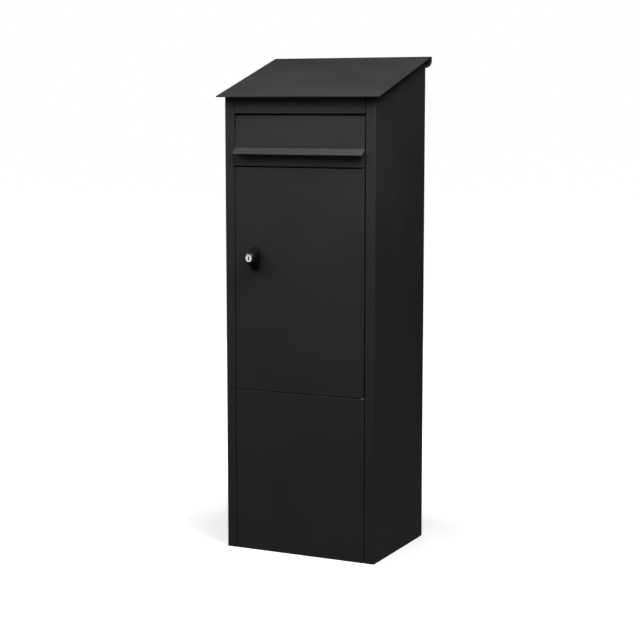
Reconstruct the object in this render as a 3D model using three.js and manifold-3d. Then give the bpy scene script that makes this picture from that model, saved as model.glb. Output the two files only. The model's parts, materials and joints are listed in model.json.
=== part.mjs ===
// A free-standing steel parcel drop box with a sloped roof, a top-hung insertion flap, an inset door
// with a turn-knob latch, and a closed plinth below the parcel floor.
// Units are millimetres, +Z is up, the front faces -Y, and the origin is the centre of the base.
import * as THREE from 'three';
import * as BufferGeometryUtils from 'three/addons/utils/BufferGeometryUtils.js';
import Module from 'manifold-3d';

const wasm = await Module();
wasm.setup();

// ---- driving dimensions: cabinet ----
const bodyWidth = 360;
const bodyDepth = 275;
const sheet = 1.5;
const touchGap = 0.3;
const bendRadius = 2.5;
const bendSteps = 3;
const frontReturn = 23;
const innerReturn = 14;
const cornerStripWidth = 20;
const swingGap = 2;
const panelGap = 1.2;
const weldGap = 0.6;
const trayGap = 0.5;
const overcut = 3;

// ---- driving dimensions: heights ----
const doorBottom = 363;
const doorHeight = 490;
const railHeight = 36;
const lipBendHeight = 895;
const flapTop = 966;
const trayFlange = 20;

// ---- driving dimensions: roof ----
const roofSlope = THREE.MathUtils.degToRad(17.15);
const roofFrontTop = 1005.4;
const roofFrontOverhang = 16;
const roofSideOverhang = 15;
const roofRearFlange = 26;
const roofCornerRadius = 5;
const roofGap = 1;
const roofStudLength = 13;
const roofStudInset = 17;
const roofStudRows = [-85, 75];
const bracketShelf = 28;
const bracketDrop = 22;
const bracketSheet = 2;

// ---- driving dimensions: moving parts and fasteners ----
const pinRadius = 2.5;
const pinHoleRadius = 2.58;
const doorPinInset = 4.5;
const flapLean = 4.3;
const flapPinDrop = 7;
const flapPinInset = 5.5;
const lipReach = 13;
const lockX = -106;
const lockZ = 657;
const lockProjection = 32;
const studRadius = 3;
const nutSize = 10;
const nutHeight = 5;
const stiffenerSheet = 1;
const stiffenerHalf = 48;
const stiffenerCrownHalf = 20;
const stiffenerHeight = 10;

// ---- derived places ----
const halfWidth = bodyWidth / 2;
const halfDepth = bodyDepth / 2;
const frontFace = -halfDepth;
const backFace = halfDepth;
const openingHalf = halfWidth - frontReturn;
const innerWall = halfWidth - sheet;
const wallBack = backFace - sheet - touchGap;
const stripFront = wallBack - sheet;
const returnBack = frontFace + innerReturn;
const trayFront = returnBack + trayGap;
const trayBack = stripFront - trayGap;
const trayHalf = innerWall - trayGap;
const doorTop = doorBottom + doorHeight;
const railBottom = doorTop + swingGap;
const railTop = railBottom + railHeight;
const plinthTop = doorBottom - swingGap;
const headerBottom = flapTop + swingGap;
const roofFrontEdge = frontFace - roofFrontOverhang;
const roofHalf = halfWidth + roofSideOverhang;
const underRoof = sheet / Math.cos(roofSlope) + roofGap;

// ---- places that depend on more than one piece ----
const doorPinX = openingHalf - swingGap - doorPinInset;
const doorPinY = frontFace + doorPinInset;
const flapTopFace = frontFace + flapLean;
const flapPinY = flapTopFace + flapPinInset;
const flapPinZ = flapTop - flapPinDrop;
const flapTopBack = flapTopFace + 10;
const railBack = frontFace + 24;
const baffleHalf = trayHalf - 8;
const baffleBack = -30;
const baffleFall = 40;
const baffleLip = 12;
const baffleHoleRadius = 2.8;
const baffleScrewX = [-120, 120];
const baffleScrewY = railBack - 4;
const wallHoleRadius = 4.5;
const wallHoles = [[-110, 250], [110, 250], [-110, 900], [110, 900]];
const anchorHoleRadius = 6;
const anchorHoles = [[-130, -80], [130, -80], [-130, 90], [130, 90]];
const bumperThickness = 1.2;
const stopFace = returnBack + bumperThickness + touchGap;
const stopReach = 14;
const roofStudX = halfWidth - roofStudInset;
const roofStudPlaces = [-1, 1].flatMap((hand) => roofStudRows.map((y) => [hand * roofStudX, y]));

const lockBarrelRadius = 9.5;
const spindleRadius = 7;
const rosetteRadius = 13;
const rosetteHeight = 2.5;
const rosetteBack = frontFace - touchGap;
const barrelBack = stopFace - touchGap;
const knobBase = rosetteBack - rosetteHeight - touchGap;
const spindleBack = barrelBack + touchGap;
const camThickness = 2.5;
const camFace = stopFace + sheet + touchGap;
const camWidth = 16;
const camReach = 42;
const squareSize = 8;
const plugRadius = 8.6;
const plugFace = frontFace - lockProjection;
const plugLength = 18;
const keySlotHalf = new THREE.Vector2(1.4, 4.3);
const keySlotDepth = 7;
const gripTopReach = 26.5;
const gripBottomReach = 29;
const gripBaseHalf = 13.6;
const gripNoseHalf = 11.8;
const plugStandsProud = 0.8;
const gripTopFullness = 0.9;
const gripBottomFullness = 0.45;
const gripLength = lockProjection - plugStandsProud - (frontFace - knobBase);

// ---- solids: small helpers ----
function solid(geometry) {
  geometry.deleteAttribute('normal');
  geometry.deleteAttribute('uv');
  const merged = BufferGeometryUtils.mergeVertices(geometry, 1e-4);
  const vertProperties = new Float32Array(merged.attributes.position.array);
  const triVerts = new Uint32Array(merged.index.array);
  return new wasm.Manifold(new wasm.Mesh({ numProp: 3, vertProperties, triVerts }));
}

function geometryOf(body) {
  const data = body.getMesh();
  const geometry = new THREE.BufferGeometry();
  geometry.setAttribute('position', new THREE.BufferAttribute(data.vertProperties, 3));
  geometry.setIndex(new THREE.BufferAttribute(data.triVerts, 1));
  geometry.computeVertexNormals();
  return geometry;
}

function block(low, high) {
  const size = high.map((value, axis) => value - low[axis]);
  const geometry = new THREE.BoxGeometry(...size);
  geometry.translate(...low.map((value, axis) => value + size[axis] / 2));
  return solid(geometry);
}

function extruded(shape, depth, curveSegments = 12) {
  return new THREE.ExtrudeGeometry(shape, { depth, bevelEnabled: false, curveSegments });
}

// Extrudes a YZ outline along X between two values.
function alongX(shape, low, high, curveSegments) {
  const geometry = extruded(shape, high - low, curveSegments);
  geometry.applyMatrix4(new THREE.Matrix4().set(0, 0, 1, low, 1, 0, 0, 0, 0, 1, 0, 0, 0, 0, 0, 1));
  return solid(geometry);
}

// Extrudes an XZ outline along Y between two values.
function alongY(shape, low, high, curveSegments) {
  const geometry = extruded(shape, high - low, curveSegments);
  geometry.rotateX(Math.PI / 2);
  geometry.translate(0, high, 0);
  return solid(geometry);
}

// Extrudes an XY outline along Z between two values.
function alongZ(shape, low, high, curveSegments) {
  const geometry = extruded(shape, high - low, curveSegments);
  geometry.translate(0, 0, low);
  return solid(geometry);
}

function circle(x, y, radius) {
  const shape = new THREE.Shape();
  shape.absarc(x, y, radius, 0, 2 * Math.PI, false);
  return shape;
}

function hexagon(acrossFlats) {
  const sides = 6;
  const corner = new THREE.Vector2(acrossFlats / Math.sqrt(3), 0);
  const points = [];
  for (let index = 0; index < sides; index += 1) {
    points.push(corner.clone().rotateAround(new THREE.Vector2(), (2 * Math.PI * index) / sides));
  }
  return new THREE.Shape(points);
}

// Turns a profile of [radius, height] points about +Z.
function turned(profile, segments = 16) {
  const points = profile.map(([radius, height]) => new THREE.Vector2(radius, height));
  const geometry = new THREE.LatheGeometry(points, segments);
  geometry.rotateX(Math.PI / 2);
  return geometry;
}

// The cross-section of a folded sheet: its outer face follows the path, its thickness lies to the left.
function foldedSheet(path, thickness = sheet, radius = bendRadius) {
  const outer = [];
  const inner = [];
  const side = (direction) => new THREE.Vector2(-direction.y, direction.x);
  const corners = path.map(([x, y]) => new THREE.Vector2(x, y));
  corners.forEach((corner, index) => {
    const before = corners[index - 1];
    const after = corners[index + 1];
    if (!before || !after) {
      const from = before ?? corner;
      const to = after ?? corner;
      const left = side(to.clone().sub(from).normalize());
      outer.push(corner.clone());
      inner.push(corner.clone().addScaledVector(left, thickness));
      return;
    }
    const arriving = corner.clone().sub(before).normalize();
    const leaving = after.clone().sub(corner).normalize();
    const turn = Math.atan2(arriving.cross(leaving), arriving.dot(leaving));
    const hand = Math.sign(turn);
    const pathRadius = hand > 0 ? radius : radius - thickness;
    const tangent = pathRadius * Math.tan(Math.abs(turn) / 2);
    const start = corner.clone().addScaledVector(arriving, -tangent);
    const centre = start.clone().addScaledVector(side(arriving), hand * pathRadius);
    const spoke = start.clone().sub(centre).normalize();
    for (let step = 0; step <= bendSteps; step += 1) {
      const direction = spoke.clone().rotateAround(new THREE.Vector2(), (turn * step) / bendSteps);
      outer.push(centre.clone().addScaledVector(direction, pathRadius));
      inner.push(centre.clone().addScaledVector(direction, pathRadius - hand * thickness));
    }
  });
  return new THREE.Shape([...outer, ...inner.reverse()]);
}

// A tray pressed from one sheet: a box hollowed from the side given by openAxis and openSign.
function tray(low, high, openAxis, openSign) {
  const hollowLow = low.map((value) => value + sheet);
  const hollowHigh = high.map((value) => value - sheet);
  if (openSign > 0) {
    hollowHigh[openAxis] = high[openAxis] + sheet;
  } else {
    hollowLow[openAxis] = low[openAxis] - sheet;
  }
  return block(low, high).subtract(block(hollowLow, hollowHigh));
}

// A square corner with a quarter round taken out of it, used to round a sheet's corners.
function cornerWaste(x, y, signX, signY, radius) {
  const margin = 1;
  const steps = 6;
  const centre = new THREE.Vector2(x - signX * radius, y - signY * radius);
  const points = [];
  for (let step = 0; step <= steps; step += 1) {
    const angle = (Math.PI / 2) * (step / steps);
    const spoke = new THREE.Vector2(signX * Math.cos(angle), signY * Math.sin(angle));
    points.push(centre.clone().addScaledVector(spoke, radius));
  }
  points.push(new THREE.Vector2(centre.x, y + signY * margin));
  points.push(new THREE.Vector2(x + signX * margin, y + signY * margin));
  points.push(new THREE.Vector2(x + signX * margin, centre.y));
  return new THREE.Shape(points);
}

function roofTopAt(y) {
  return roofFrontTop + (y - roofFrontEdge) * Math.tan(roofSlope);
}

// A round bar square to the roof, from one distance below its top face to another.
function rodThroughRoof(x, y, radius, nearEnd, farEnd) {
  const geometry = new THREE.CylinderGeometry(radius, radius, farEnd - nearEnd, 16);
  geometry.rotateX(Math.PI / 2);
  geometry.translate(0, 0, -(nearEnd + farEnd) / 2);
  geometry.rotateX(roofSlope);
  geometry.translate(x, y, roofTopAt(y));
  return solid(geometry);
}

// Everything above a plane parallel to the roof, a given height below its top face.
function aboveRoofPlane(depthBelowTop) {
  const geometry = new THREE.BoxGeometry(3 * bodyWidth, 4 * bodyDepth, bodyWidth);
  geometry.translate(0, 0, bodyWidth / 2);
  geometry.rotateX(roofSlope);
  geometry.translate(0, frontFace, roofTopAt(frontFace) - depthBelowTop);
  return solid(geometry);
}

// ---- materials ----
function finish(color, roughness, metalness) {
  return new THREE.MeshStandardMaterial({ color, roughness, metalness });
}

const coatedSteel = () => finish(0x2b2c2e, 0.55, 0.2);
const zincSteel = () => finish(0xa9adb0, 0.4, 0.9);
const blackPlastic = () => finish(0x0d0d0e, 0.2, 0);
const nickel = () => finish(0xd6d6d4, 0.25, 0.9);
const rubber = () => finish(0x161616, 0.85, 0);
const nylon = () => finish(0xe4e2dc, 0.6, 0);

const dropBox = new THREE.Group();

function addPart(name, body, material) {
  const geometry = body.isBufferGeometry ? body : geometryOf(body);
  const mesh = new THREE.Mesh(geometry, material);
  mesh.name = name;
  dropBox.add(mesh);
  return mesh;
}

// ---- cabinet shell ----
function sidePanel(hand) {
  const path = [
    [-halfWidth, wallBack],
    [-halfWidth, frontFace],
    [-openingHalf, frontFace],
    [-openingHalf, returnBack],
  ];
  const pivotHole = circle(flapPinY, flapPinZ, pinHoleRadius);
  const left = alongZ(foldedSheet(path), 0, roofTopAt(backFace))
    .subtract(aboveRoofPlane(underRoof))
    .subtract(alongX(pivotHole, -openingHalf - overcut, -openingHalf + overcut));
  return hand < 0 ? left : left.mirror([1, 0, 0]);
}

// A flat strip welded inside the rear corner, which the back panel is fixed to.
function cornerStrip(hand) {
  const outer = innerWall - touchGap;
  const left = block([-outer, stripFront, 0], [-outer + cornerStripWidth, wallBack, roofTopAt(backFace)])
    .subtract(aboveRoofPlane(underRoof));
  return hand < 0 ? left : left.mirror([1, 0, 0]);
}

function backPanel() {
  const top = roofTopAt(backFace) - roofRearFlange - touchGap;
  let panel = block([-halfWidth + weldGap, backFace - sheet, 0], [halfWidth - weldGap, backFace, top]);
  wallHoles.forEach(([x, z]) => {
    panel = panel.subtract(alongY(circle(x, z, wallHoleRadius), backFace - overcut, backFace + overcut));
  });
  return panel;
}

function basePlate() {
  let plate = tray([-trayHalf, trayFront, 0], [trayHalf, trayBack, trayFlange], 2, 1);
  anchorHoles.forEach(([x, y]) => {
    plate = plate.subtract(alongZ(circle(x, y, anchorHoleRadius), -overcut, overcut));
  });
  return plate;
}

function parcelFloor() {
  const top = plinthTop - sheet;
  return tray([-trayHalf, trayFront, top - trayFlange], [trayHalf, trayBack, top], 2, -1);
}

function doorPinHole(height) {
  return alongZ(circle(doorPinX, doorPinY, pinHoleRadius), height - overcut, height + overcut);
}

function lowerFrontPanel() {
  const half = openingHalf - panelGap;
  const hole = doorPinHole(plinthTop);
  return tray([-half, frontFace, 0], [half, returnBack, plinthTop], 1, 1).subtract(hole);
}

function middleRail() {
  const half = openingHalf - weldGap;
  const path = [
    [railBack, railTop],
    [frontFace, railTop],
    [frontFace, railBottom],
    [railBack, railBottom],
  ];
  let rail = alongX(foldedSheet(path), -half, half).subtract(doorPinHole(railBottom));
  baffleScrewX.forEach((x) => {
    const hole = circle(x, baffleScrewY, baffleHoleRadius);
    rail = rail.subtract(alongZ(hole, railTop - overcut, railTop + overcut));
  });
  return rail;
}

function headerPanel() {
  const half = openingHalf - weldGap;
  const top = roofTopAt(frontFace) - underRoof;
  const path = [
    [returnBack, top + innerReturn * Math.tan(roofSlope)],
    [frontFace, top],
    [frontFace, headerBottom],
    [returnBack, headerBottom],
  ];
  return alongX(foldedSheet(path), -half, half);
}

// ---- roof and its fixings ----
function roofPanel() {
  const flangeBottom = roofTopAt(backFace) - roofRearFlange;
  const path = [
    [backFace, flangeBottom],
    [backFace, roofTopAt(backFace)],
    [roofFrontEdge, roofFrontTop],
  ];
  let roof = alongX(foldedSheet(path), -roofHalf, roofHalf);
  [-1, 1].forEach((hand) => {
    const frontCorner = cornerWaste(hand * roofHalf, roofFrontEdge, hand, -1, roofCornerRadius);
    const flangeCorner = cornerWaste(hand * roofHalf, flangeBottom, hand, -1, roofSideOverhang);
    roof = roof.subtract(alongZ(frontCorner, roofFrontTop - bodyDepth / 2, roofFrontTop + bodyDepth / 2));
    roof = roof.subtract(alongY(flangeCorner, backFace - 2 * sheet, backFace + sheet));
  });
  roofStudPlaces.forEach(([x, y]) => {
    roof = roof.add(rodThroughRoof(x, y, studRadius, sheet / 2, sheet / 2 + roofStudLength));
  });
  return roof;
}

// An angle along the top of a side wall, with a sloped shelf that the roof rests on.
function roofBracket(hand) {
  const front = returnBack + 8;
  const length = trayBack - 24 - front;
  const path = [
    [-trayHalf + bracketShelf, 0],
    [-trayHalf, 0],
    [-trayHalf, -bracketDrop],
  ];
  const section = foldedSheet(path, bracketSheet, 2 * sheet);
  const geometry = extruded(section, length);
  geometry.rotateX(Math.PI / 2);
  geometry.translate(0, length, 0);
  geometry.rotateX(roofSlope);
  geometry.translate(0, front, roofTopAt(front) - underRoof - touchGap);
  let bracket = solid(geometry);
  roofStudPlaces.forEach(([x, y]) => {
    bracket = bracket.subtract(rodThroughRoof(x, y, studRadius + touchGap, -roofStudLength, roofStudLength));
  });
  return hand < 0 ? bracket : bracket.mirror([1, 0, 0]);
}

// ---- hexagon nuts and round-headed fasteners, made about +Z with their seat at height zero ----
function hexNut(acrossFlats, height, holeRadius) {
  const shape = hexagon(acrossFlats);
  shape.holes.push(circle(0, 0, holeRadius));
  return extruded(shape, height, 10);
}

function headedPin(headRadius, headHeight, shankRadius, shankLength) {
  return turned([
    [0, headHeight],
    [headRadius * 0.7, headHeight],
    [headRadius, headHeight * 0.45],
    [headRadius, 0],
    [shankRadius, 0],
    [shankRadius, -shankLength],
    [0, -shankLength],
  ].reverse());
}

// A plain dowel with chamfered ends, standing on height zero.
function dowel(radius, length) {
  const chamfer = 0.6;
  return turned([
    [0, 0],
    [radius - chamfer, 0],
    [radius, chamfer],
    [radius, length - chamfer],
    [radius - chamfer, length],
    [0, length],
  ]);
}

// ---- chute and door stop ----
function dropBaffle() {
  const seat = railTop + touchGap;
  const path = [
    [baffleBack, seat - baffleFall - baffleLip],
    [baffleBack, seat - baffleFall],
    [railBack + 4, seat],
    [railBack - 9, seat],
  ];
  let baffle = alongX(foldedSheet(path.map(([y, z]) => [y, z + sheet])), -baffleHalf, baffleHalf);
  baffleScrewX.forEach((x) => {
    const hole = circle(x, baffleScrewY, baffleHoleRadius);
    baffle = baffle.subtract(alongZ(hole, seat - overcut, seat + 2 * overcut));
  });
  return baffle;
}

function doorStopStrip() {
  const path = [
    [-trayHalf, stopFace + 18],
    [-trayHalf, stopFace],
    [-openingHalf + stopReach, stopFace],
  ];
  return alongZ(foldedSheet(path), doorBottom + 12, doorTop - 12);
}

// ---- door ----
function doorPanel() {
  const half = openingHalf - swingGap;
  const low = [-half, frontFace, doorBottom];
  const high = [half, returnBack, doorTop];
  const lockHole = circle(lockX, lockZ, lockBarrelRadius + 2 * touchGap);
  return tray(low, high, 1, 1)
    .subtract(alongY(lockHole, frontFace - overcut, frontFace + overcut, 24))
    .subtract(doorPinHole(doorBottom))
    .subtract(doorPinHole(doorTop));
}

// A hat-shaped strip spot-welded down the middle of the door's inner face.
function doorStiffener() {
  const inner = frontFace + sheet + touchGap;
  const crown = inner + stiffenerHeight;
  const slopedHalf = stiffenerCrownHalf + 4;
  const endGap = 30;
  const path = [
    [-stiffenerHalf, inner],
    [-slopedHalf, inner],
    [-stiffenerCrownHalf, crown],
    [stiffenerCrownHalf, crown],
    [slopedHalf, inner],
    [stiffenerHalf, inner],
  ];
  const section = foldedSheet(path, stiffenerSheet, 2 * stiffenerSheet);
  return alongZ(section, doorBottom + endGap, doorTop - endGap);
}

// ---- lock ----
function facingFront(geometry, seatY) {
  geometry.rotateX(Math.PI / 2);
  geometry.translate(lockX, seatY, lockZ);
  return solid(geometry);
}

function lockHousing() {
  const barrelLength = barrelBack - rosetteBack;
  return facingFront(turned([
    [spindleRadius + 0.15, rosetteHeight],
    [rosetteRadius - 1.5, rosetteHeight],
    [rosetteRadius, rosetteHeight - 1.5],
    [rosetteRadius, 0],
    [lockBarrelRadius, 0],
    [lockBarrelRadius, -barrelLength],
    [spindleRadius + 0.15, -barrelLength],
    [spindleRadius + 0.15, rosetteHeight],
  ].reverse(), 32), rosetteBack);
}

// The grip is a stack of outlines that run from a shield, pointed upwards, at the door to a round nose.
function knobGrip() {
  const around = 32;
  const rings = 7;
  const points = [];
  const faces = [];
  const { lerp } = THREE.MathUtils;
  for (let ring = 0; ring < rings; ring += 1) {
    const along = ring / (rings - 1);
    const taper = Math.pow(along, 0.85);
    const halfBreadth = lerp(gripBaseHalf, gripNoseHalf, along);
    for (let step = 0; step < around; step += 1) {
      const angle = (2 * Math.PI * step) / around;
      const sine = Math.sin(angle);
      const cosine = Math.cos(angle);
      const reach = lerp(sine > 0 ? gripTopReach : gripBottomReach, gripNoseHalf, taper);
      const fullness = lerp(sine > 0 ? gripTopFullness : gripBottomFullness, 1, taper);
      const narrowing = Math.pow(Math.abs(cosine), fullness);
      points.push(Math.sign(cosine) * halfBreadth * narrowing, -along * gripLength, reach * sine);
    }
  }
  for (let ring = 0; ring < rings - 1; ring += 1) {
    for (let step = 0; step < around; step += 1) {
      const here = ring * around + step;
      const next = ring * around + ((step + 1) % around);
      faces.push(here, next, here + around, next, next + around, here + around);
    }
  }
  const backCentre = points.length / 3;
  points.push(0, 0, 0);
  points.push(0, -gripLength, 0);
  const lastRing = (rings - 1) * around;
  for (let step = 0; step < around; step += 1) {
    const next = (step + 1) % around;
    faces.push(backCentre, next, step);
    faces.push(backCentre + 1, lastRing + step, lastRing + next);
  }
  const geometry = new THREE.BufferGeometry();
  geometry.setAttribute('position', new THREE.Float32BufferAttribute(points, 3));
  geometry.setIndex(faces);
  geometry.translate(lockX, knobBase, lockZ);
  return solid(geometry);
}

function knob() {
  const spindle = facingFront(turned([
    [0, 6],
    [spindleRadius, 6],
    [spindleRadius, knobBase - spindleBack],
    [0, knobBase - spindleBack],
  ].reverse(), 24), knobBase);
  const squareHalf = squareSize / 2;
  const square = block(
    [lockX - squareHalf, spindleBack - 1, lockZ - squareHalf],
    [lockX + squareHalf, camFace + camThickness - 0.2, lockZ + squareHalf],
  );
  const stud = alongY(circle(lockX, lockZ, studRadius), spindleBack - 1, camFace + camThickness + 9, 10);
  const bore = alongY(circle(lockX, lockZ, plugRadius + 0.12), plugFace - 5, plugFace + plugLength + 0.5, 24);
  return knobGrip().add(spindle).add(square).add(stud).subtract(bore);
}

function keyCylinder() {
  const plug = facingFront(turned([
    [0, plugLength],
    [plugRadius - 1, plugLength],
    [plugRadius, plugLength - 1],
    [plugRadius, 0],
    [0, 0],
  ].reverse(), 48), plugFace + plugLength);
  const slot = block(
    [lockX - keySlotHalf.x, plugFace - 1, lockZ - keySlotHalf.y],
    [lockX + keySlotHalf.x, plugFace + keySlotDepth, lockZ + keySlotHalf.y],
  );
  return plug.subtract(slot);
}

function latchCam() {
  const radius = camWidth / 2;
  const shape = new THREE.Shape();
  shape.absarc(lockX, lockZ, radius, Math.PI, 2 * Math.PI, false);
  shape.lineTo(lockX + radius, lockZ + camReach - 3);
  shape.lineTo(lockX + radius - 3, lockZ + camReach);
  shape.lineTo(lockX - radius + 3, lockZ + camReach);
  shape.lineTo(lockX - radius, lockZ + camReach - 3);
  const hole = squareSize / 2 + touchGap;
  const square = block([lockX - hole, camFace - 5, lockZ - hole], [lockX + hole, camFace + 9, lockZ + hole]);
  return alongY(shape, camFace, camFace + camThickness, 8).subtract(square);
}

// ---- flap ----
// The flap leans back from its lip, so its upper edge lies a little behind the front face.
function flapPanel() {
  const half = openingHalf - swingGap;
  const path = [
    [flapTopBack, flapTop],
    [flapTopFace, flapTop],
    [frontFace, lipBendHeight],
    [frontFace - lipReach, lipBendHeight - lipReach],
  ];
  const earShape = new THREE.Shape([
    new THREE.Vector2(flapTopFace + 1, flapTop - 1),
    new THREE.Vector2(flapTopFace, flapPinZ - 16),
    new THREE.Vector2(flapPinY + 3, flapPinZ - 7),
    new THREE.Vector2(flapTopBack, flapPinZ),
    new THREE.Vector2(flapTopBack, flapTop - 1),
  ]);
  const pinHole = alongX(circle(flapPinY, flapPinZ, pinHoleRadius), -half - 3, half + 3);
  return alongX(foldedSheet(path), -half, half)
    .add(alongX(earShape, -half, -half + sheet))
    .add(alongX(earShape, half - sheet, half))
    .subtract(pinHole);
}

// ---- assembly: cabinet ----
function sideName(hand) {
  return hand < 0 ? 'left' : 'right';
}

addPart('back_panel', backPanel(), coatedSteel());
addPart('base_plate', basePlate(), coatedSteel());
addPart('parcel_floor', parcelFloor(), coatedSteel());
addPart('lower_front_panel', lowerFrontPanel(), coatedSteel());
addPart('middle_rail', middleRail(), coatedSteel());
addPart('header_panel', headerPanel(), coatedSteel());
addPart('roof_panel', roofPanel(), coatedSteel());
addPart('drop_baffle', dropBaffle(), coatedSteel());
addPart('door_stop_strip', doorStopStrip(), coatedSteel());

[-1, 1].forEach((hand) => {
  const side = sideName(hand);
  addPart(`${side}_side_panel`, sidePanel(hand), coatedSteel());
  addPart(`${side}_corner_strip`, cornerStrip(hand), coatedSteel());
  addPart(`roof_bracket_${side}`, roofBracket(hand), zincSteel());

  const pivot = addPart(`flap_pivot_${side}`, headedPin(3.6, 2, pinRadius - 0.02, 9), zincSteel());
  pivot.rotation.y = -hand * Math.PI / 2;
  pivot.position.set(hand * (openingHalf - swingGap - sheet - touchGap), flapPinY, flapPinZ);

  const pivotNut = addPart(`flap_pivot_nut_${side}`, hexNut(6.6, 3, pinRadius + 0.1), zincSteel());
  pivotNut.rotation.y = hand * Math.PI / 2;
  pivotNut.position.set(hand * (openingHalf + sheet + touchGap), flapPinY, flapPinZ);

  const bumper = addPart(`flap_bumper_${side}`, turned([
    [0, 0],
    [4, 0],
    [4, 3.4],
    [2.4, 4.6],
    [0, 4.9],
  ]), rubber());
  bumper.rotation.x = Math.PI / 2;
  bumper.position.set(hand * 120, frontFace - touchGap, lipBendHeight - 11);
});

roofStudPlaces.forEach(([x, y], index) => {
  const shelfBottom = underRoof + touchGap + bracketSheet / Math.cos(roofSlope) + touchGap;
  const nut = addPart(`roof_nut_${index + 1}`, hexNut(nutSize, nutHeight, studRadius + 0.1), zincSteel());
  const down = new THREE.Vector3(0, Math.sin(roofSlope), -Math.cos(roofSlope));
  nut.rotation.x = Math.PI + roofSlope;
  nut.position.set(x, y, roofTopAt(y)).addScaledVector(down, shelfBottom * Math.cos(roofSlope));
});

baffleScrewX.forEach((x, index) => {
  const screw = addPart(`baffle_screw_${sideName(x)}`, headedPin(5, 2.6, 2.5, 12), zincSteel());
  screw.position.set(x, baffleScrewY, railTop + touchGap + sheet + touchGap);
});

[doorBottom + 60, (doorBottom + doorTop) / 2, doorTop - 60].forEach((height, index) => {
  const name = ['bottom', 'middle', 'top'][index];
  const padHeight = bumperThickness - 0.1;
  const pad = turned([[0, 0], [5, 0], [5, 0.8], [4.4, padHeight], [0, padHeight]]);
  const bumper = addPart(`door_bumper_${name}`, pad, rubber());
  bumper.rotation.x = Math.PI / 2;
  bumper.position.set(-openingHalf + 7, stopFace - touchGap / 2, height);
});

wallHoles.forEach(([x, z], index) => {
  const stem = sheet + touchGap - 0.2;
  const blank = headedPin(7.5, 1.5, wallHoleRadius - 0.25, stem);
  const plug = addPart(`wall_hole_plug_${index + 1}`, blank, rubber());
  plug.rotation.x = Math.PI / 2;
  plug.position.set(x, backFace - sheet - touchGap, z);
});

anchorHoles.forEach(([x, y], index) => {
  const stem = sheet + touchGap - 0.2;
  const blank = headedPin(9, 2, anchorHoleRadius - 0.25, stem);
  const plug = addPart(`anchor_hole_plug_${index + 1}`, blank, rubber());
  plug.position.set(x, y, sheet + touchGap);
});

// ---- assembly: door ----
const dowelLength = 12;
const dowelGrip = 5;
const lowerPin = addPart('door_hinge_pin_bottom', dowel(pinRadius - 0.02, dowelLength), zincSteel());
lowerPin.position.set(doorPinX, doorPinY, plinthTop - dowelGrip);

const upperPin = addPart('door_hinge_pin_top', dowel(pinRadius - 0.02, dowelLength), zincSteel());
upperPin.position.set(doorPinX, doorPinY, railBottom + dowelGrip - dowelLength);

const washerShape = circle(doorPinX, doorPinY, 4.2);
washerShape.holes.push(circle(doorPinX, doorPinY, pinRadius + 0.15));
const washerBody = alongZ(washerShape, plinthTop + touchGap, doorBottom - touchGap);
addPart('door_hinge_washer', washerBody, nylon());

addPart('door_panel', doorPanel(), coatedSteel());
addPart('door_stiffener', doorStiffener(), coatedSteel());

// ---- assembly: lock ----
addPart('lock_housing', lockHousing(), blackPlastic());
const lockNut = addPart('lock_nut', hexNut(25, 4, lockBarrelRadius + 0.15), zincSteel());
lockNut.rotation.x = -Math.PI / 2;
lockNut.position.set(lockX, frontFace + sheet + touchGap, lockZ);
addPart('knob', knob(), blackPlastic());
addPart('key_cylinder', keyCylinder(), nickel());
addPart('latch_cam', latchCam(), zincSteel());
const camNut = addPart('cam_nut', hexNut(nutSize, nutHeight, studRadius + 0.1), zincSteel());
camNut.rotation.x = -Math.PI / 2;
camNut.position.set(lockX, camFace + camThickness + touchGap, lockZ);

// ---- assembly: flap ----
addPart('flap_panel', flapPanel(), coatedSteel());

export default dropBox;
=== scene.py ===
"""The looks of a free-standing steel parcel drop box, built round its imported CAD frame.

Lengths are metres in the frame's own axes: +Z up, the front faces -Y, origin at the base's centre.
"""
import json
import math

import bmesh
import bpy
from mathutils import Matrix, Vector


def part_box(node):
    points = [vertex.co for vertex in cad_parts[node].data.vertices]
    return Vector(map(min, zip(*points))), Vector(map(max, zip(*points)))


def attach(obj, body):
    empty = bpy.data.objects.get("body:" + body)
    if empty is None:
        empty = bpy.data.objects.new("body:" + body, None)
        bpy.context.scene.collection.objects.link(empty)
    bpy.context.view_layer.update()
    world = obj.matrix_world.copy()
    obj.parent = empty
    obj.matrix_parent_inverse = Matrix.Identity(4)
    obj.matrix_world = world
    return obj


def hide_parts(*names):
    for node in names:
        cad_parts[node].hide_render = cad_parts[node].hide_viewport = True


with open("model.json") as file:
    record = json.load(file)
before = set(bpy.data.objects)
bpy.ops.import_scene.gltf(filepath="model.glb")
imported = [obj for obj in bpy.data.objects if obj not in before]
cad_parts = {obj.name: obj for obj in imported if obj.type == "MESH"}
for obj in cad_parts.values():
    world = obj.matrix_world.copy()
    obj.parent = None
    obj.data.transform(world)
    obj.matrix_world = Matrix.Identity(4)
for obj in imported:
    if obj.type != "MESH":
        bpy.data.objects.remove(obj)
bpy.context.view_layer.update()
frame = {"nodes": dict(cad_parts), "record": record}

MM = 0.001

# The camera stands to the right of the front and a little above the middle.
CAMERA_PLACE = Vector((1.5755, -3.2987, 0.983))
CAMERA_YAW = math.radians(25.746)
CAMERA_PITCH = math.radians(-7.398)
CAMERA_LENS = 92.27


def make_camera():
    data = bpy.data.cameras.new("camera")
    data.lens = CAMERA_LENS
    data.sensor_width = 36.0
    camera = bpy.data.objects.new("camera", data)
    camera.location = CAMERA_PLACE
    camera.rotation_euler = (math.pi / 2 + CAMERA_PITCH, 0.0, CAMERA_YAW)
    bpy.context.scene.collection.objects.link(camera)
    bpy.context.scene.camera = camera


make_camera()


# ---------------------------------------------------------------- node helpers
def new_material(name):
    material = bpy.data.materials.new(name)
    material.use_nodes = True
    tree = material.node_tree
    shader = tree.nodes["Principled BSDF"]
    return material, tree, shader


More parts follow.
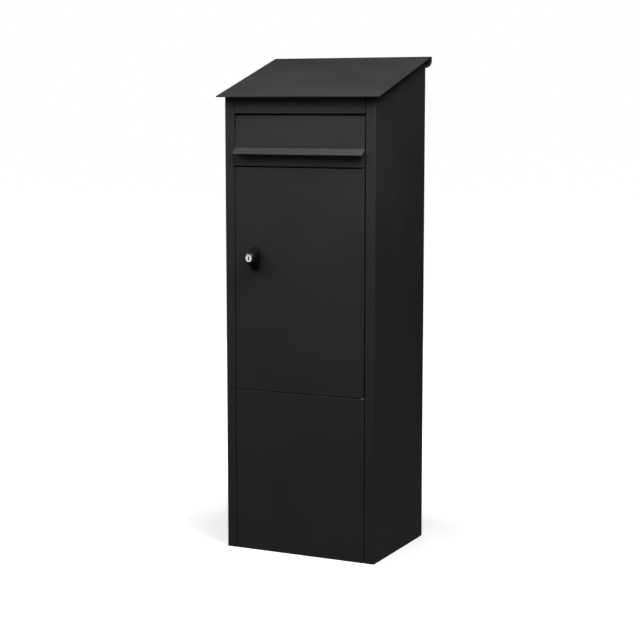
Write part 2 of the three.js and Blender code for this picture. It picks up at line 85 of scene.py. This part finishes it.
def add_node(tree, kind, **inputs):
    node = tree.nodes.new(kind)
    for key, value in inputs.items():
        node.inputs[key].default_value = value
    return node


def object_noise(tree, scale, detail=2.0, stretch=(1.0, 1.0, 1.0), roughness=0.5):
    """Noise in the piece's own coordinates, so that it keeps its size in metres."""
    place = tree.nodes.new("ShaderNodeTexCoord")
    mapping = add_node(tree, "ShaderNodeMapping", Scale=stretch)
    noise = add_node(tree, "ShaderNodeTexNoise", Scale=scale, Detail=detail, Roughness=roughness)
    tree.links.new(place.outputs["Object"], mapping.inputs["Vector"])
    tree.links.new(mapping.outputs["Vector"], noise.inputs["Vector"])
    return noise.outputs["Fac"]


def remap(tree, value, low, high, from_low=0.3, from_high=0.7):
    node = add_node(tree, "ShaderNodeMapRange")
    node.inputs["From Min"].default_value = from_low
    node.inputs["From Max"].default_value = from_high
    node.inputs["To Min"].default_value = low
    node.inputs["To Max"].default_value = high
    tree.links.new(value, node.inputs["Value"])
    return node.outputs["Result"]


def blend_colours(tree, factor, first, second):
    node = tree.nodes.new("ShaderNodeMix")
    node.data_type = "RGBA"
    node.inputs[6].default_value = (*first, 1.0)
    node.inputs[7].default_value = (*second, 1.0)
    tree.links.new(factor, node.inputs[0])
    return node.outputs[2]


def add_bump(tree, shader, height, distance, below=None):
    bump = add_node(tree, "ShaderNodeBump", Strength=1.0, Distance=distance)
    tree.links.new(height, bump.inputs["Height"])
    if below is not None:
        tree.links.new(below, bump.inputs["Normal"])
    tree.links.new(bump.outputs["Normal"], shader.inputs["Normal"])
    return bump.outputs["Normal"]


# ---------------------------------------------------------------- materials
def powder_coat(name, dark, light, gloss_shift=0.0):
    """Fine matt powder coat with tiny pebbles and a slow drift in colour and gloss."""
    material, tree, shader = new_material(name)
    drift = object_noise(tree, 7.0, 3.0)
    grain = object_noise(tree, 900.0, 2.0)
    colour = blend_colours(tree, remap(tree, drift, 0.0, 1.0), dark, light)
    tree.links.new(colour, shader.inputs["Base Color"])
    gloss = add_node(tree, "ShaderNodeMath")
    gloss.operation = "ADD"
    tree.links.new(remap(tree, drift, -0.03, 0.03), gloss.inputs[0])
    tree.links.new(remap(tree, grain, 0.56 + gloss_shift, 0.64 + gloss_shift), gloss.inputs[1])
    tree.links.new(gloss.outputs[0], shader.inputs["Roughness"])
    shader.inputs["Specular IOR Level"].default_value = 0.5
    peel = add_bump(tree, shader, object_noise(tree, 320.0, 1.0), 0.00004)
    add_bump(tree, shader, grain, 0.00003, below=peel)
    return material


def zinc_plate():
    material, tree, shader = new_material("zinc_plate")
    cloud = object_noise(tree, 180.0, 4.0)
    colour = blend_colours(tree, remap(tree, cloud, 0.0, 1.0), (0.42, 0.43, 0.44), (0.62, 0.63, 0.62))
    tree.links.new(colour, shader.inputs["Base Color"])
    tree.links.new(remap(tree, cloud, 0.28, 0.46), shader.inputs["Roughness"])
    shader.inputs["Metallic"].default_value = 1.0
    add_bump(tree, shader, object_noise(tree, 2500.0, 2.0), 0.000012)
    return material


def gloss_plastic():
    material, tree, shader = new_material("gloss_black_plastic")
    cloud = object_noise(tree, 90.0, 3.0)
    share = remap(tree, cloud, 0.0, 1.0)
    colour = blend_colours(tree, share, (0.0035, 0.0035, 0.0038), (0.006, 0.006, 0.0065))
    tree.links.new(colour, shader.inputs["Base Color"])
    tree.links.new(remap(tree, cloud, 0.05, 0.09), shader.inputs["Roughness"])
    shader.inputs["Specular IOR Level"].default_value = 0.3
    add_bump(tree, shader, object_noise(tree, 700.0, 2.0), 0.000002)
    return material


def satin_nickel():
    material, tree, shader = new_material("satin_nickel")
    turned = object_noise(tree, 1400.0, 2.0, stretch=(1.0, 0.05, 1.0))
    colour = blend_colours(tree, remap(tree, turned, 0.0, 1.0), (0.70, 0.69, 0.67), (0.84, 0.83, 0.81))
    tree.links.new(colour, shader.inputs["Base Color"])
    tree.links.new(remap(tree, turned, 0.15, 0.24), shader.inputs["Roughness"])
    shader.inputs["Metallic"].default_value = 1.0
    add_bump(tree, shader, turned, 0.0000015)
    return material


def painted_keyway_shade():
    """A near-black colour for the inside of a keyway: painted shade, standing in for the shade deep in the
    slot.
    """
    material, tree, shader = new_material("painted_keyway_shade")
    speckle = object_noise(tree, 1500.0, 3.0)
    colour = blend_colours(tree, remap(tree, speckle, 0.0, 1.0), (0.004, 0.004, 0.004), (0.012, 0.011, 0.01))
    tree.links.new(colour, shader.inputs["Base Color"])
    tree.links.new(remap(tree, speckle, 0.6, 0.85), shader.inputs["Roughness"])
    add_bump(tree, shader, speckle, 0.00003)
    return material


def black_rubber():
    material, tree, shader = new_material("black_rubber")
    speckle = object_noise(tree, 400.0, 3.0)
    colour = blend_colours(tree, remap(tree, speckle, 0.0, 1.0), (0.012, 0.012, 0.012), (0.03, 0.03, 0.029))
    tree.links.new(colour, shader.inputs["Base Color"])
    tree.links.new(remap(tree, speckle, 0.7, 0.9), shader.inputs["Roughness"])
    add_bump(tree, shader, speckle, 0.00005)
    return material


def natural_nylon():
    material, tree, shader = new_material("natural_nylon")
    cloud = object_noise(tree, 300.0, 3.0)
    colour = blend_colours(tree, remap(tree, cloud, 0.0, 1.0), (0.62, 0.60, 0.54), (0.76, 0.74, 0.69))
    tree.links.new(colour, shader.inputs["Base Color"])
    tree.links.new(remap(tree, cloud, 0.4, 0.6), shader.inputs["Roughness"])
    shader.inputs["Subsurface Weight"].default_value = 0.2
    shader.inputs["Subsurface Scale"].default_value = 0.002
    add_bump(tree, shader, cloud, 0.00002)
    return material


FINISHES = {
    "coated_steel": powder_coat("powder_coat", (0.0127, 0.0126, 0.0127), (0.0167, 0.0166, 0.0167)),
    "zinc_steel": zinc_plate(),
    "knob_plastic": gloss_plastic(),
    "nickel": satin_nickel(),
    "rubber": black_rubber(),
    "nylon": natural_nylon(),
}
# Painted shade: a near-black material for the keyway's inner faces, standing in for the shade deep in the
# slot.
KEYWAY_PAINTED_SHADE = painted_keyway_shade()
# Edge wear and painted highlight: a lighter, glossier coat on the bevelled edges, partly wear and partly a
# painted highlight along bends and edges.
WORN_EDGE_AND_PAINTED_HIGHLIGHT = powder_coat("worn_and_painted_highlight_powder_coat", (0.016, 0.016, 0.0162), (0.034, 0.034, 0.0345), -0.1)


# ---------------------------------------------------------------- CAD nodes that stay
def clean_up(piece, width, segments=3, limit=50.0):
    """Joins the piece's faces and rounds its sharp edges, as paint and pressing do."""
    weld = piece.modifiers.new("weld", "WELD")
    weld.merge_threshold = 0.01 * MM
    flatten = piece.modifiers.new("flatten", "DECIMATE")
    flatten.decimate_type = "DISSOLVE"
    flatten.angle_limit = math.radians(0.5)
    bevel = piece.modifiers.new("bevel", "BEVEL")
    bevel.width = width
    bevel.segments = segments
    bevel.limit_method = "ANGLE"
    bevel.angle_limit = math.radians(limit)
    bevel.use_clamp_overlap = True
    normals = piece.modifiers.new("normals", "WEIGHTED_NORMAL")
    normals.keep_sharp = False


def finish_node(node, slot, width=0.6 * MM):
    piece = frame["nodes"][node]
    piece.data.materials.clear()
    piece.data.materials.append(FINISHES[slot])
    clean_up(piece, width)
    # The bevel faces take the lighter coat: partly edge wear, partly a painted highlight along bends and
    # edges.
    if slot == "coated_steel":
        piece.data.materials.append(WORN_EDGE_AND_PAINTED_HIGHLIGHT)
        piece.modifiers["bevel"].material = 1




# ---------------------------------------------------------------- new pieces: helpers
DETAILED = set()


def node_box(node):
    low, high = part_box(node)
    return Vector(low), Vector(high)


def node_middle(node):
    low, high = node_box(node)
    return (low + high) / 2


def node_length(node, axis):
    """How long the CAD node is along an axis of the frame, or nearly so for a sloping one."""
    low, high = node_box(node)
    return max((high - low)[step] * abs(axis[step]) for step in range(3))


def new_piece(name, built, slot, body, node, sharp=35.0):
    """Makes a smooth object of the bmesh. It rides on the body and stands for the CAD node."""
    bmesh.ops.recalc_face_normals(built, faces=built.faces)
    mesh = bpy.data.meshes.new(name)
    built.to_mesh(mesh)
    built.free()
    mesh.shade_smooth()
    mesh.set_sharp_from_angle(angle=math.radians(sharp))
    mesh.materials.append(FINISHES[slot])
    piece = bpy.data.objects.new(name, mesh)
    bpy.context.scene.collection.objects.link(piece)
    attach(piece, body)
    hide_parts(node)
    DETAILED.add(node)
    return piece


def join_loops(built, low, high):
    """Faces between two loops of vertices, either of which may be a single pole."""
    count = max(len(low), len(high))
    for here in range(count):
        after = (here + 1) % count
        below = [low[here % len(low)], low[after % len(low)]]
        above = [high[after % len(high)], high[here % len(high)]]
        unique = list(dict.fromkeys(below + above))
        built.faces.new(unique)


def round_body(rings, place, axis, around=48):
    """A closed body about an axis. A ring is (radius, height); a radius can be a function of the angle."""
    built = bmesh.new()
    loops = []
    for radius, height in rings:
        if radius == 0:
            loops.append([built.verts.new((0.0, 0.0, height))])
            continue
        loop = []
        for step in range(around):
            angle = 2 * math.pi * step / around
            reach = radius(angle) if callable(radius) else radius
            loop.append(built.verts.new((reach * math.cos(angle), reach * math.sin(angle), height)))
        loops.append(loop)
    for low, high in zip(loops, loops[1:]):
        join_loops(built, low, high)
    if len(loops[0]) > 1:
        join_loops(built, loops[-1], loops[0])
    turn = Vector(axis).to_track_quat("Z", "Y").to_matrix().to_4x4()
    built.transform(Matrix.Translation(place) @ turn)
    return built


def round_edge(radius, height, edge, steps=4):
    """The rings that round a body's upper outer edge, from the side to the top."""
    rings = []
    for step in range(steps + 1):
        angle = math.pi / 2 * step / steps
        rings.append((radius - edge * (1 - math.cos(angle)), height - edge * (1 - math.sin(angle))))
    return rings


def thread_rings(radius, low, high, pitch, depth):
    """The grooves of a fine thread, from low to high."""
    turns = max(1, round((high - low) / pitch))
    rings = []
    for turn in range(turns):
        foot = low + (high - low) * turn / turns
        rings += [(radius - depth, foot), (radius, foot + pitch * 0.3), (radius, foot + pitch * 0.6)]
    rings.append((radius - depth, high))
    return rings


def square_reach(half):
    def reach(angle):
        local = (angle + math.pi / 4) % (math.pi / 2) - math.pi / 4
        return half / math.cos(local)
    return reach


def hexagon_reach(across_flats, limit):
    """A hexagon's reach, cut off at a circle, as where a nut's crown is turned."""
    def reach(angle):
        local = (angle + math.pi / 6) % (math.pi / 3) - math.pi / 6
        return min(across_flats / 2 / math.cos(local), limit)
    return reach


def cross_reach(length, half_width):
    def reach(angle):
        local = (angle + math.pi / 4) % (math.pi / 2) - math.pi / 4
        return min(length / math.cos(local), half_width / max(abs(math.sin(local)), 0.001))
    return reach


def slot_reach(half_width, half_height):
    """An upright slot with round ends."""
    def reach(angle):
        across, along = abs(math.cos(angle)), abs(math.sin(angle))
        if across > 0.001 and half_width / across * along <= half_height - half_width:
            return half_width / across
        middle = half_height - half_width
        return middle * along + math.sqrt(half_width ** 2 - (middle * across) ** 2)
    return reach


# ---------------------------------------------------------------- new pieces: the lock
BACKWARDS = (0.0, 1.0, 0.0)
FORWARDS = (0.0, -1.0, 0.0)
LOCK_AXIS = node_middle("key_cylinder")
TOUCH_GAP = 0.3 * MM
PLUG_LOW, PLUG_HIGH = node_box("key_cylinder")
PLUG_RADIUS = (PLUG_HIGH.x - PLUG_LOW.x) / 2
KNOB_LOW, KNOB_HIGH = node_box("knob")
HOUSING_LOW, HOUSING_HIGH = node_box("lock_housing")
GRIP_FOOT = HOUSING_LOW.y - TOUCH_GAP
GRIP_LENGTH = GRIP_FOOT - KNOB_LOW.y
GRIP_NOSE = 11.8 * MM
GRIP_BREADTH = (KNOB_HIGH.x - KNOB_LOW.x) / 2
GRIP_TOP = KNOB_HIGH.z - LOCK_AXIS.z
GRIP_BOTTOM = LOCK_AXIS.z - KNOB_LOW.z
GRIP_TOP_FULLNESS = 0.9
GRIP_BOTTOM_FULLNESS = 0.45
GRIP_AROUND = 128
SPINDLE_RADIUS = 7.0 * MM
SPINDLE_BACK = HOUSING_HIGH.y + TOUCH_GAP
SQUARE_HALF = 4.0 * MM
STUD_RADIUS = 3.0 * MM
KEYWAY = (1.4 * MM, 4.3 * MM)
KEYWAY_DEPTH = 7.0 * MM
KEYWAY_MOUTH = 0.3 * MM


def mix(first, second, share):
    return first + (second - first) * share


def grip_outline(along, inset):
    """The grip's outline at a share of its length: a shield at the door, round at the nose."""
    taper = along ** 0.85
    breadth = mix(GRIP_BREADTH, GRIP_NOSE, along) - inset
    points = []
    for step in range(GRIP_AROUND):
        angle = 2 * math.pi * step / GRIP_AROUND
        sine, cosine = math.sin(angle), math.cos(angle)
        upper = sine > 0
        reach = mix(GRIP_TOP if upper else GRIP_BOTTOM, GRIP_NOSE, taper) - inset
        fullness = mix(GRIP_TOP_FULLNESS if upper else GRIP_BOTTOM_FULLNESS, 1.0, taper)
        across = math.copysign(abs(cosine) ** fullness, cosine) * breadth
        points.append((LOCK_AXIS.x + across, GRIP_FOOT - along * GRIP_LENGTH, LOCK_AXIS.z + reach * sine))
    return points


def knob_grip():
    """The moulded grip, with soft edges, and the bore in its nose that the key plug sits in."""
    foot_edge, nose_edge = 0.8 * MM, 2.6 * MM
    rounding = [math.pi / 2 * step / 5 for step in range(6)]
    stations = [(foot_edge * (1 - math.cos(turn)), foot_edge * (1 - math.sin(turn))) for turn in rounding]
    plain = GRIP_LENGTH - foot_edge - nose_edge
    stations += [(foot_edge + plain * step / 16, 0.0) for step in range(1, 16)]
    stations += [
        (GRIP_LENGTH - nose_edge * (1 - math.sin(turn)), nose_edge * (1 - math.cos(turn)))
        for turn in rounding
    ]
    bore = PLUG_RADIUS + 0.12 * MM
    built = bmesh.new()
    loops = [[built.verts.new((LOCK_AXIS.x, GRIP_FOOT, LOCK_AXIS.z))]]
    for depth, inset in stations:
        loops.append([built.verts.new(point) for point in grip_outline(depth / GRIP_LENGTH, inset)])
    mouth_edge = 0.3 * MM
    for radius, depth in ((bore + mouth_edge, 0.0), (bore, mouth_edge), (bore, PLUG_HIGH.y - KNOB_LOW.y)):
        loops.append([
            built.verts.new((
                LOCK_AXIS.x + radius * math.cos(2 * math.pi * step / GRIP_AROUND),
                KNOB_LOW.y + depth,
                LOCK_AXIS.z + radius * math.sin(2 * math.pi * step / GRIP_AROUND),
            ))
            for step in range(GRIP_AROUND)
        ])
    loops.append([built.verts.new((LOCK_AXIS.x, PLUG_HIGH.y, LOCK_AXIS.z))])
    for low, high in zip(loops, loops[1:]):
        join_loops(built, low, high)
    return new_piece("knob_grip", built, "knob_plastic", "knob", "knob", sharp=50.0)


def lock_place(y):
    return Vector((LOCK_AXIS.x, y, LOCK_AXIS.z))


def knob_spindle():
    """The spindle behind the grip, in its finish: round in the barrel, square in the cam, then a thread."""
    round_end = SPINDLE_BACK - GRIP_FOOT
    square_end = node_box("latch_cam")[1].y - 0.2 * MM - GRIP_FOOT
    stud_end = KNOB_HIGH.y - GRIP_FOOT
    start = 0.05 * MM
    square = square_reach(SQUARE_HALF)
    rings = [(0, start), (SPINDLE_RADIUS, start), (SPINDLE_RADIUS, round_end - 0.4 * MM)]
    rings += [(SPINDLE_RADIUS - 0.4 * MM, round_end), (square, round_end), (square, square_end)]
    rings += thread_rings(STUD_RADIUS, square_end, stud_end - 0.4 * MM, 0.7 * MM, 0.25 * MM)
    rings += [(STUD_RADIUS - 0.6 * MM, stud_end), (0, stud_end)]
    built = round_body(rings, lock_place(GRIP_FOOT), BACKWARDS, around=32)
    return new_piece("knob_spindle", built, "knob_plastic", "knob", "knob")


def lock_rosette():
    """The round collar on the door and the threaded barrel through it."""
    barrel_radius = 9.5 * MM
    bore = SPINDLE_RADIUS + 0.15 * MM
    collar_radius = (HOUSING_HIGH.x - HOUSING_LOW.x) / 2
    door_front = node_box("door_panel")[0].y - TOUCH_GAP
    collar_height = door_front - HOUSING_LOW.y
    barrel_end = HOUSING_HIGH.y - door_front
    rings = [(bore, collar_height)]
    rings += reversed(round_edge(collar_radius, collar_height, 1.5 * MM))
    rings += [(collar_radius, 0.0), (barrel_radius, 0.0)]
    rings += [(radius, -height) for radius, height in
              thread_rings(barrel_radius, 0.4 * MM, barrel_end - 0.4 * MM, 1.0 * MM, 0.35 * MM)]
    rings += [(barrel_radius - 0.8 * MM, -barrel_end), (bore, -barrel_end)]
    built = round_body(rings, lock_place(door_front), FORWARDS, around=64)
    return new_piece("lock_rosette", built, "knob_plastic", "door", "lock_housing")


def key_plug():
    """The bright key plug, faintly crowned, with its upright keyway."""
    length = PLUG_HIGH.y - PLUG_LOW.y
    keyway = slot_reach(*KEYWAY)
    keyway_mouth = slot_reach(KEYWAY[0] + KEYWAY_MOUTH, KEYWAY[1] + KEYWAY_MOUTH)
    crown = 0.05 * MM
    rings = [(0, 0.0), (PLUG_RADIUS - 1.0 * MM, 0.0), (PLUG_RADIUS, 1.0 * MM)]
    rings += round_edge(PLUG_RADIUS, length - crown, 0.5 * MM)
    rings += [(mix(PLUG_RADIUS, KEYWAY[1], 0.5), length - crown * 0.4)]
    rings += [(keyway_mouth, length), (keyway, length - 0.25 * MM)]
    rings += [(keyway, length - KEYWAY_DEPTH), (0, length - KEYWAY_DEPTH)]
    built = round_body(rings, lock_place(PLUG_HIGH.y), FORWARDS, around=96)
    piece = new_piece("key_plug_face", built, "nickel", "key_plug", "key_cylinder")
    # The keyway's inner faces take the painted shade material, a near-black stand-in for the shade deep in
    # the slot.
    piece.data.materials.append(KEYWAY_PAINTED_SHADE)
    for face in piece.data.polygons:
        off_axis = math.hypot(face.center.x - LOCK_AXIS.x, face.center.z - LOCK_AXIS.z)
        depth = face.center.y - PLUG_LOW.y
        if off_axis < PLUG_RADIUS * 0.6 and crown < depth < KEYWAY_DEPTH + crown:
            face.material_index = 1
    return piece


# ---------------------------------------------------------------- new pieces: fasteners and blanks
def hex_nut(node, axis, body, flats, height, bore):
    """A nut with a turned crown on both faces and a chamfered thread, in the place of the CAD nut."""
    foot = node_middle(node) - Vector(axis).normalized() * height / 2
    crown = 0.07 * flats
    inscribed = flats / 2
    soft = hexagon_reach(flats, inscribed * 1.09)
    full = hexagon_reach(flats, inscribed * 1.15)
    thread = thread_rings(bore, 0.5 * MM, height - 0.5 * MM, 0.8 * MM, -0.2 * MM)
    rings = [(bore + 0.5 * MM, 0.0), (inscribed, 0.0), (soft, crown * 0.5), (full, crown)]
    rings += [(full, height - crown), (soft, height - crown * 0.5), (inscribed, height)]
    rings += [(bore + 0.5 * MM, height)] + list(reversed(thread))
    return new_piece(f"{node}_detail", round_body(rings, foot, axis), "zinc_steel", body, node)


def pan_screw(node, axis, body, head_radius, head_height, shank_radius):
    """A pan-head screw with a cross recess, along an axis that points out of its head."""
    length = node_length(node, axis)
    seat = length - head_height
    foot = node_middle(node) - Vector(axis) * length / 2
    recess = cross_reach(head_radius * 0.5, head_radius * 0.13)
    bottom = cross_reach(head_radius * 0.36, head_radius * 0.1)
    rings = [(0, 0.0), (shank_radius - 0.5 * MM, 0.0)]
    rings += thread_rings(shank_radius, 0.5 * MM, seat - 0.5 * MM, 0.8 * MM, 0.25 * MM)
    rings += [(shank_radius, seat), (head_radius, seat)]
    rings += round_edge(head_radius, length - 0.15 * head_height, 0.6 * head_height)
    rings += [(recess, length), (bottom, length - 0.55 * head_height), (0, length - 0.6 * head_height)]
    return new_piece(f"{node}_detail", round_body(rings, foot, axis, 64), "zinc_steel", body, node)


def rubber_blank(node, axis, body, head_radius, head_height, stem_radius):
    """A pressed-in blank or stick-on buffer: a low dome, and a stem where it goes through a hole."""
    length = node_length(node, axis)
    seat = length - head_height
    foot = node_middle(node) - Vector(axis) * length / 2
    rings = [(0, 0.0)]
    if seat > 0.2 * MM:
        rings += [(stem_radius - 0.3 * MM, 0.0), (stem_radius, 0.3 * MM), (stem_radius, seat)]
    rings += [(head_radius, max(seat, 0.0)), (head_radius, seat + 0.3 * head_height)]
    for step in range(1, 6):
        angle = math.pi / 2 * step / 6
        rings.append((head_radius * math.cos(angle), seat + head_height * (0.3 + 0.7 * math.sin(angle))))
    rings.append((0, length))
    return new_piece(f"{node}_detail", round_body(rings, foot, axis), "rubber", body, node)


ROOF_SLOPE = math.radians(17.15)
UNDER_ROOF = (0.0, math.sin(ROOF_SLOPE), -math.cos(ROOF_SLOPE))

knob_grip()
knob_spindle()
lock_rosette()
key_plug()
hex_nut("lock_nut", BACKWARDS, "door", flats=25.0 * MM, height=4.0 * MM, bore=9.65 * MM)
hex_nut("cam_nut", BACKWARDS, "knob", flats=10.0 * MM, height=5.0 * MM, bore=3.1 * MM)
for hand, side in ((-1, "left"), (1, "right")):
    outwards = (hand, 0, 0)
    hex_nut(f"flap_pivot_nut_{side}", outwards, "cabinet", flats=6.6 * MM, height=3.0 * MM, bore=2.6 * MM)
    pan_screw(f"flap_pivot_{side}", (-hand, 0, 0), "cabinet", 3.6 * MM, 2.0 * MM, 2.48 * MM)
    pan_screw(f"baffle_screw_{side}", (0, 0, 1), "cabinet", 5.0 * MM, 2.6 * MM, 2.5 * MM)
    rubber_blank(f"flap_bumper_{side}", FORWARDS, "cabinet", 4.0 * MM, 4.9 * MM, 4.0 * MM)
for place in ("bottom", "middle", "top"):
    rubber_blank(f"door_bumper_{place}", FORWARDS, "cabinet", 5.0 * MM, 1.1 * MM, 5.0 * MM)
for number in range(1, 5):
    hex_nut(f"roof_nut_{number}", UNDER_ROOF, "cabinet", flats=10.0 * MM, height=5.0 * MM, bore=3.1 * MM)
    rubber_blank(f"wall_hole_plug_{number}", FORWARDS, "cabinet", 7.5 * MM, 1.5 * MM, 4.25 * MM)
    rubber_blank(f"anchor_hole_plug_{number}", (0, 0, 1), "cabinet", 9.0 * MM, 2.0 * MM, 5.75 * MM)


for row in frame["record"]["subparts"]:
    if row["node"] not in DETAILED:
        finish_node(row["node"], row["material_slot"])


# ---------------------------------------------------------------- studio
STUDIO_CENTRE = Vector((0.0, 0.0, 0.75))
LIGHT_DISTANCE = 3.2


def make_floor():
    """A wide pale floor. It glows more further out, so only the shadow by the box's base shows."""
    half = 30.0
    corners = [(-half, -half, 0), (half, -half, 0), (half, half, 0), (-half, half, 0)]
    mesh = bpy.data.meshes.new("floor")
    mesh.from_pydata(corners, [], [(0, 1, 2, 3)])
    floor = bpy.data.objects.new("floor", mesh)
    bpy.context.scene.collection.objects.link(floor)
    material, tree, shader = new_material("studio_floor")
    shader.inputs["Base Color"].default_value = (0.85, 0.85, 0.85, 1.0)
    shader.inputs["Roughness"].default_value = 0.9
    shader.inputs["Specular IOR Level"].default_value = 0.2
    shader.inputs["Emission Color"].default_value = (1.0, 1.0, 1.0, 1.0)
    place = tree.nodes.new("ShaderNodeTexCoord")
    reach = tree.nodes.new("ShaderNodeVectorMath")
    reach.operation = "LENGTH"
    tree.links.new(place.outputs["Object"], reach.inputs[0])
    glow = remap(tree, reach.outputs["Value"], 0.46, 1.0, 0.3, 0.8)
    tree.links.new(glow, shader.inputs["Emission Strength"])
    mesh.materials.append(material)
    floor.visible_diffuse = False
    floor.visible_glossy = False
    floor.visible_shadow = False


def make_world():
    """A white backdrop at infinity. It is only seen, and the lamps alone light the box."""
    world = bpy.data.worlds.new("studio")
    world.use_nodes = True
    background = world.node_tree.nodes["Background"]
    background.inputs["Color"].default_value = (1.0, 1.0, 1.0, 1.0)
    background.inputs["Strength"].default_value = 1.0
    bpy.context.scene.world = world
    world.cycles_visibility.diffuse = False
    world.cycles_visibility.glossy = False


COOL = (0.965, 0.985, 1.05)
NEUTRAL = (1.0, 1.0, 1.0)


def soft_light(name, place, aim, size, power, shape="SQUARE", colour=NEUTRAL):
    data = bpy.data.lights.new(name, "AREA")
    data.shape = shape
    data.size = size
    data.energy = power
    data.color = colour
    light = bpy.data.objects.new(name, data)
    light.location = place
    light.rotation_euler = (Vector(aim) - Vector(place)).to_track_quat("-Z", "Y").to_euler()
    light.visible_camera = False
    bpy.context.scene.collection.objects.link(light)


def far_light(name, azimuth, elevation, power, size=1.8, colour=NEUTRAL):
    """A large softbox on the studio's ring. Azimuth 0 is in front of the box and +90 to its right."""
    turn, rise = math.radians(azimuth), math.radians(elevation)
    way = Vector((math.sin(turn) * math.cos(rise), -math.cos(turn) * math.cos(rise), math.sin(rise)))
    soft_light(name, STUDIO_CENTRE + way * LIGHT_DISTANCE, STUDIO_CENTRE, size, power, colour=colour)


def near_light(name, place, power):
    soft_light(name, Vector(place), Vector((0.0, -0.1, 0.9)), 0.6, power)


def glint_light():
    """A small card of light where the lock's bright face mirrors it to the camera."""
    face = Vector((LOCK_AXIS.x, PLUG_LOW.y, LOCK_AXIS.z))
    sight = CAMERA_PLACE - face
    place = face + 0.9 * Vector((-sight.x, sight.y, -sight.z))
    soft_light("lock_glint", place, face, 0.7, 1.9)


make_floor()
make_world()
glint_light()
near_light("key", (0.7, -0.5, 1.8), power=18.2)
near_light("top_front", (0.1, -0.5, 1.8), power=3.4)
near_light("top_front_low", (0.1, -0.9, 1.8), power=1.9)
near_light("roof_left", (-0.5, 0.2, 2.0), power=0.77)
far_light("left_softbox", azimuth=-60, elevation=35, power=39.0, colour=COOL)
far_light("front_softbox", azimuth=-25, elevation=50, power=18.5, colour=COOL)
far_light("right_softbox", azimuth=45, elevation=35, power=7.7)
far_light("side_fill", azimuth=80, elevation=20, power=9.2)
far_light("back_fill", azimuth=-160, elevation=8, power=14.0, size=1.6)
soft_light("floor_bounce", (0.0, 0.0, -0.02), (0.0, 0.0, 1.0), 5.0, 9.7, shape="DISK")
bpy.context.scene.view_settings.view_transform = "Standard"
